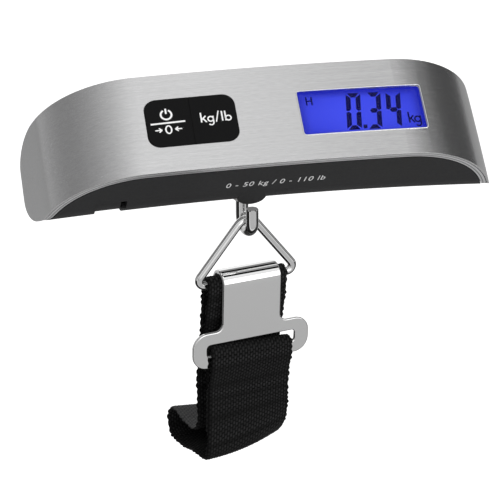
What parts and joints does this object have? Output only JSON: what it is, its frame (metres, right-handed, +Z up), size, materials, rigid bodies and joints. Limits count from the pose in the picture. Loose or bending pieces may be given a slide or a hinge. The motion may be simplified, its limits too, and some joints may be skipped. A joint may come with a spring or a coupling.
{
  "type": "digital luggage scale",
  "caption": "Hand-held digital luggage scale: bow-shaped metal-faced grip with a lit display and keys, a load hook, a triangle ring, a hook plate and a webbing strap.",
  "frame": {"origin": "where the vertical axis of the load hook leaves the underside of the housing", "axes": "+Z up along the pull axis, +X along the body towards the display end, +Y towards the back; the face looks up and to the front (-Y)"},
  "size_m": [0.1578, 0.0477, 0.1386],
  "materials": {
    "brushed_steel": "long-line brushed stainless sheet, clear",
    "silver_plastic": "silver painted ABS, satin",
    "clear_window": "clear acrylic window, polished",
    "dark_plastic": "charcoal ABS with fine mould texture",
    "black_plastic": "black moulded plastic",
    "battery_steel": "nickel-plated can",
    "spring_metal": "tinned spring strip",
    "wire_insulation": "thin insulated wire",
    "lcd": "display glass",
    "backlight_blue": "lit diffuser",
    "white_plastic": "white moulded plastic",
    "grey_rubber": "conductive elastomer",
    "board_green": "solder-masked circuit board",
    "epoxy_black": "potting resin",
    "component_body": "component bodies",
    "screw_steel": "zinc-plated steel",
    "load_cell_aluminium": "milled",
    "gauge_film": "polyimide film",
    "key_black": "black satin plastic with white printed legends",
    "chrome_plate": "bright chrome plate",
    "webbing": "black polypropylene webbing, ribbed weave"
  },
  "bodies": {
    "scale_body": {"steel_cover": "brushed_steel", "front_frame": "silver_plastic", "display_window": "clear_window", "rear_housing": "dark_plastic", "battery_holder": "black_plastic", "coin_battery": "battery_steel", "battery_contact_negative": "spring_metal", "battery_contact_positive": "spring_metal", "battery_wires": "wire_insulation", "lcd_glass": "lcd", "backlight": "backlight_blue", "lcd_holder": "white_plastic", "zebra_strips": "grey_rubber", "main_pcb": "board_green", "controller_blob": "epoxy_black", "smd_components": "component_body", "pcb_screws": "screw_steel", "case_screws": "screw_steel", "tact_switches": "component_body", "load_cell": "load_cell_aluminium", "strain_gauges": "gauge_film", "load_cell_screws": "screw_steel", "load_cell_wires": "wire_insulation", "hook_bush": "white_plastic"},
    "battery_door": {"battery_door": "dark_plastic"},
    "key_power": {"key_power": "key_black", "switch_plunger_power": "black_plastic"},
    "key_unit": {"key_unit": "key_black", "switch_plunger_unit": "black_plastic"},
    "hook_seat": {"hook_washer": "screw_steel"},
    "load_hook": {"load_hook": "chrome_plate", "hook_nut": "screw_steel"},
    "ring": {"triangle_ring": "chrome_plate"},
    "strap": {"strap_webbing": "webbing"},
    "hook_plate": {"hook_plate": "chrome_plate", "strap_end_loop": "webbing"}
  },
  "joints": [
    {"name": "power_key_press", "type": "slide", "parent": "scale_body", "child": "key_power", "axis": [0, 0.6361, -0.7716], "range_m": [0, 0.0004], "stiffness_N_per_m": 900},
    {"name": "unit_key_press", "type": "slide", "parent": "scale_body", "child": "key_unit", "axis": [0, 0.6361, -0.7716], "range_m": [0, 0.0004], "stiffness_N_per_m": 900},
    {"name": "battery_door_tilt", "type": "hinge", "parent": "scale_body", "child": "battery_door", "pos_m": [-0.0448, 0.02352, 0.01181], "axis": [0.9967, -0.0517, 0.0628], "range_deg": [0, 35]},
    {"name": "hook_pull", "type": "slide", "parent": "scale_body", "child": "hook_seat", "axis": [0, 0, -1], "range_m": [0, 0.0003], "stiffness_N_per_m": 20000, "deforming": ["load_cell"]},
    {"name": "hook_swivel", "type": "hinge", "parent": "hook_seat", "child": "load_hook", "pos_m": [0, 0, 0], "axis": [0, 0, 1], "range_deg": [-60, 30]},
    {"name": "ring_swing", "type": "hinge", "parent": "load_hook", "child": "ring", "pos_m": [0.00097, -0.00361, -0.00649], "axis": [0.9655, 0.2587, -0.0297], "range_deg": [-40, 40]},
    {"name": "strap_swing", "type": "hinge", "parent": "ring", "child": "strap", "pos_m": [0.00036, -0.00377, -0.02763], "axis": [0.9655, 0.2587, -0.0297], "range_deg": [-45, 45]},
    {"name": "plate_lift", "type": "slide", "parent": "strap", "child": "hook_plate", "axis": [0.0287, 0.0077, 0.9996], "range_m": [0, 0.0033]}
  ]
}
